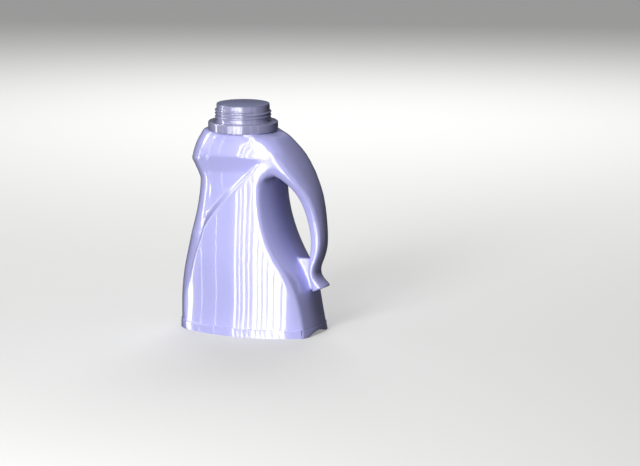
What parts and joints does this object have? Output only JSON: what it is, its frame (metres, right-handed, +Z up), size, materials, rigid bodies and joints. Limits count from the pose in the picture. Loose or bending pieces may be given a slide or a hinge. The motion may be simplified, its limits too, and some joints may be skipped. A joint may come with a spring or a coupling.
{
  "type": "fabric softener bottle",
  "caption": "Lavender blow-moulded bottle with a waisted nose, raised side panels, a grip handle, a threaded neck above a collar and a welded seal.",
  "frame": {"origin": "centre of the footprint, on the surface that the bottle stands on", "axes": "+X from the nose to the handle, +Y through the thickness, +Z up along the neck"},
  "size_m": [0.1578, 0.0944, 0.228],
  "materials": {
    "moulding": "gloss lavender",
    "seal": "satin lavender"
  },
  "bodies": {
    "root": {"bottle": "moulding", "mouth_seal": "seal"}
  },
  "joints": []
}
